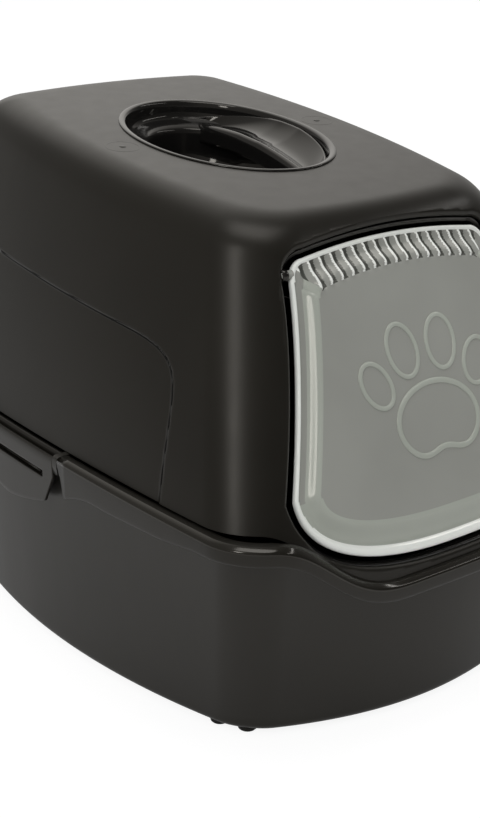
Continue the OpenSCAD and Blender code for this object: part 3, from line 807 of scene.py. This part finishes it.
# ------------------------------------------------------------
# Side clips. Each is a black moulding that hangs from two pins in the hood's lugs: a plate flush with the tray's
# band, with a pull slot, a rolled top and a hook inside that catches under the tray's bead.
# ------------------------------------------------------------
clip_black = plastic("clip_polypropylene", charcoal_colour, 0.3, 0.36, 0.9, 0.03)
plate_half, plate_top, slot_half, slot_low, slot_high = 68.4, 170, 54, 150, 155
foot_low, foot_rise, foot_end = 118.3, 12.7, 55
barrel_x, barrel_z, hook_half = 193.2, 165, 38
barrel_profile = ((-73, 1.2), (-72.6, 1.8), (-68.6, 1.8), (-68.5, 2.7), (68.5, 2.7), (68.6, 1.8), (72.6, 1.8),
                  (73, 1.2))
hook_profile = np.array([(195.4, 139.6), (190.8, 142.2), (190.8, 143.6), (195.4, 147.6)])


def clip_plate(side):
    """The plate as a sheet of columns along the box, each from the foot line over the slot to the top. The foot line
    bulges by a power of 1.4, and past 55 mm from the middle it climbs to the end of the plate beside the lug. The
    whole sheet bows with the tray's side and rolls in over its top 6 mm."""
    half_line = spaced((0, slot_half, 28), (slot_half, plate_half, 13))
    along = np.concatenate([-half_line[:0:-1], half_line])
    far = np.abs(along)
    foot = np.where(far < foot_end, foot_low + foot_rise * (far / foot_end) ** 1.4,
                    np.interp(far, [foot_end, 56, plate_half], [131, 132.8, 154.6]))
    low = np.where(far <= slot_half, (slot_low - foot) / (plate_top - foot), 0.49)
    high = np.where(far <= slot_half, (slot_high - foot) / (plate_top - foot), 0.618)
    step = np.linspace(0, 1, 10)[:, None]
    share = np.concatenate([low * step, high + (1 - high) * step])
    z = foot + (plate_top - foot) * share
    y = clip_y + along + 0 * z
    x = rim_half - side_bow(y) - 1.4 * np.clip((z - 164) / 6, 0, 1) ** 2
    quads = grid_faces(len(z), len(along), wrap_cols=False, flip=side < 0).reshape(len(z) - 1, len(along) - 1, 4)
    keep = np.ones(quads.shape[:2], bool)
    keep[len(step) - 1, np.abs(along[:-1] + np.diff(along) / 2) < slot_half] = False
    return sheet(side * x, y, z), quads[keep], []


for side, body in ((-1, "left_clip"), (1, "right_clip")):
    plate = solid(body + "_plate", [clip_plate(side)], clip_black)
    thick = plate.modifiers.new("thickness", "SOLIDIFY")
    thick.thickness, thick.offset = 0.0024, -1
    soften = plate.modifiers.new("edges", "BEVEL")
    soften.width, soften.segments, soften.limit_method, soften.angle_limit = 0.0006, 2, "ANGLE", math.radians(50)
    rod = [sheet(side * barrel_x + r * np.cos(spin) * side, clip_y + at, barrel_z + r * np.sin(spin))
           for at, r in barrel_profile]
    hook = prism(hook_profile * [side, 1], clip_y - hook_half, clip_y + hook_half, flip=side < 0)
    barrel = solid(body + "_barrel", [bowl(rod, flip=side > 0), hook], clip_black)
    barrel.data.set_sharp_from_angle(angle=math.radians(40))
    for piece in (plate, barrel):
        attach(piece, body)
    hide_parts(body)

# ------------------------------------------------------------
# Studio: a pale floor that looks white, a white backdrop with softer light of its own, a lamp above, a tall one from
# the left and a long strip from the front right, and the camera.
# ------------------------------------------------------------
floor_material = bpy.data.materials.new("pale_floor")
floor_material.use_nodes = True
nodes, links = floor_material.node_tree.nodes, floor_material.node_tree.links
paint = tuned(nodes["Principled BSDF"], {"Base Color": (0.86, 0.86, 0.86, 1), "Roughness": 0.7,
                                         "Specular IOR Level": 0.1})
glow = tuned(nodes.new("ShaderNodeEmission"), {"Color": (1, 1, 1, 1), "Strength": 1.24})
mix = nodes.new("ShaderNodeMixShader")
# The floor glows by 72 per cent for the eye, by 19 per cent in reflections, and fully for light bent by a clear piece.
ray = nodes.new("ShaderNodeLightPath")
mirrored = nodes.new("ShaderNodeMath")
mirrored.operation = "MULTIPLY_ADD"
mirrored.inputs[1].default_value = 0.19
links.new(ray.outputs["Is Glossy Ray"], mirrored.inputs[0])
links.new(ray.outputs["Is Transmission Ray"], mirrored.inputs[2])
share = nodes.new("ShaderNodeMath")
share.operation = "MULTIPLY_ADD"
share.inputs[1].default_value = 0.72
links.new(ray.outputs["Is Camera Ray"], share.inputs[0])
links.new(mirrored.outputs[0], share.inputs[2])
links.new(share.outputs[0], mix.inputs["Fac"])
links.new(paint.outputs[0], mix.inputs[1])
links.new(glow.outputs[0], mix.inputs[2])
links.new(mix.outputs[0], nodes["Material Output"].inputs["Surface"])
floor_mesh = bpy.data.meshes.new("studio_floor")
reach = 6.0
floor_corners = [(-reach, -reach, 0), (reach, -reach, 0), (reach, reach, 0), (-reach, reach, 0)]
floor_mesh.from_pydata(floor_corners, [], [(0, 1, 2, 3)])
floor_mesh.materials.append(floor_material)
floor = bpy.data.objects.new("studio_floor", floor_mesh)
bpy.context.scene.collection.objects.link(floor)

world = bpy.data.worlds.new("studio")
bpy.context.scene.world = world
world.use_nodes = True
nodes, links = world.node_tree.nodes, world.node_tree.links
direction = nodes.new("ShaderNodeTexCoord").outputs["Generated"]


def towards(target, low, high, at_low, at_high):
    """A value that blends smoothly from at_low to at_high as the cosine of the angle to the target direction goes
    from low to high."""
    dot = nodes.new("ShaderNodeVectorMath")
    dot.operation = "DOT_PRODUCT"
    dot.inputs[1].default_value = Vector(target).normalized()
    links.new(direction, dot.inputs[0])
    spans = {"From Min": low, "From Max": high, "To Min": at_low, "To Max": at_high}
    blend = tuned(nodes.new("ShaderNodeMapRange"), spans)
    blend.interpolation_type = "SMOOTHSTEP"
    links.new(dot.outputs["Value"], blend.inputs["Value"])
    return blend.outputs[0]


def combined(operation, first, second):
    """Two values put together by one operation of arithmetic."""
    node = nodes.new("ShaderNodeMath")
    node.operation = operation
    links.new(first, node.inputs[0])
    links.new(second, node.inputs[1])
    return node.outputs[0]


# The backdrop is white to the eye and soft as a light. Reflections see it bright high up behind and low down at the
# back right, and dim at the front right.
soft = tuned(nodes["Background"], {"Color": (1, 1, 1, 1), "Strength": 0.46})
surround = tuned(nodes.new("ShaderNodeBackground"), {"Color": (1.0, 0.975, 0.93, 1)})
bright_behind = towards((0.35, 0.7, 0.58), 0.82, 1.0, 0.3, 1.02)
bright_low = towards((0.6, 0.8, 0.1), 0.75, 1.0, 0, 0.3)
bright = combined("ADD", bright_behind, bright_low)
dim_in_front = towards((0.5, -0.8, 0.3), 0.1, 0.8, 1.0, 0.3)
links.new(combined("MULTIPLY", bright, dim_in_front), surround.inputs["Strength"])
white = tuned(nodes.new("ShaderNodeBackground"), {"Color": (1, 1, 1, 1), "Strength": 1.0})
ray = nodes.new("ShaderNodeLightPath")
mirrored = nodes.new("ShaderNodeMixShader")
links.new(combined("MAXIMUM", ray.outputs["Is Glossy Ray"], ray.outputs["Is Transmission Ray"]), mirrored.inputs["Fac"])
links.new(soft.outputs[0], mirrored.inputs[1])
links.new(surround.outputs[0], mirrored.inputs[2])
seen = nodes.new("ShaderNodeMixShader")
links.new(ray.outputs["Is Camera Ray"], seen.inputs["Fac"])
links.new(mirrored.outputs[0], seen.inputs[1])
links.new(white.outputs[0], seen.inputs[2])
links.new(seen.outputs[0], nodes["World Output"].inputs["Surface"])


def lamp(name, place, target, size, power):
    """A rectangular soft box of the given size in metres, aimed at the target."""
    data = bpy.data.lights.new(name, "AREA")
    data.shape, data.size, data.size_y, data.energy = "RECTANGLE", size[0], size[1], power
    thing = bpy.data.objects.new(name, data)
    thing.location = place
    thing.rotation_euler = (Vector(target) - Vector(place)).to_track_quat("-Z", "Y").to_euler()
    bpy.context.scene.collection.objects.link(thing)


lamp("top_box", (-0.25, -0.15, 2.4), (0, 0, 0.3), (1.2, 1.0), 10)
lamp("front_strip", (1.53, -1.07, 1.81), (0, -0.1, 0.3), (2.4, 0.12), 6)
lamp("key", (-1.75, -0.67, 1.45), (0, 0, 0.25), (0.3, 1.0), 6.2)

camera_data = bpy.data.cameras.new("camera")
camera_data.sensor_width, camera_data.lens = 36, 63.82
camera = bpy.data.objects.new("camera", camera_data)
aim, distance = Vector((0.01088, 0.0, 0.14269)), 1.20004
azimuth, elevation = math.radians(-36.59), math.radians(21.149)
back = Vector((math.sin(azimuth) * math.cos(elevation), -math.cos(azimuth) * math.cos(elevation), math.sin(elevation)))
camera.location = aim + back * distance
camera.rotation_euler = (-back).to_track_quat("-Z", "Y").to_euler()
bpy.context.scene.collection.objects.link(camera)
bpy.context.scene.camera = camera
bpy.context.scene.view_settings.view_transform = "Standard"

# A CAD node that still shows takes the charcoal.
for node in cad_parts.values():
    if not node.hide_render:
        node.data.materials.clear()
        node.data.materials.append(charcoal)
bpy.context.view_layer.update()
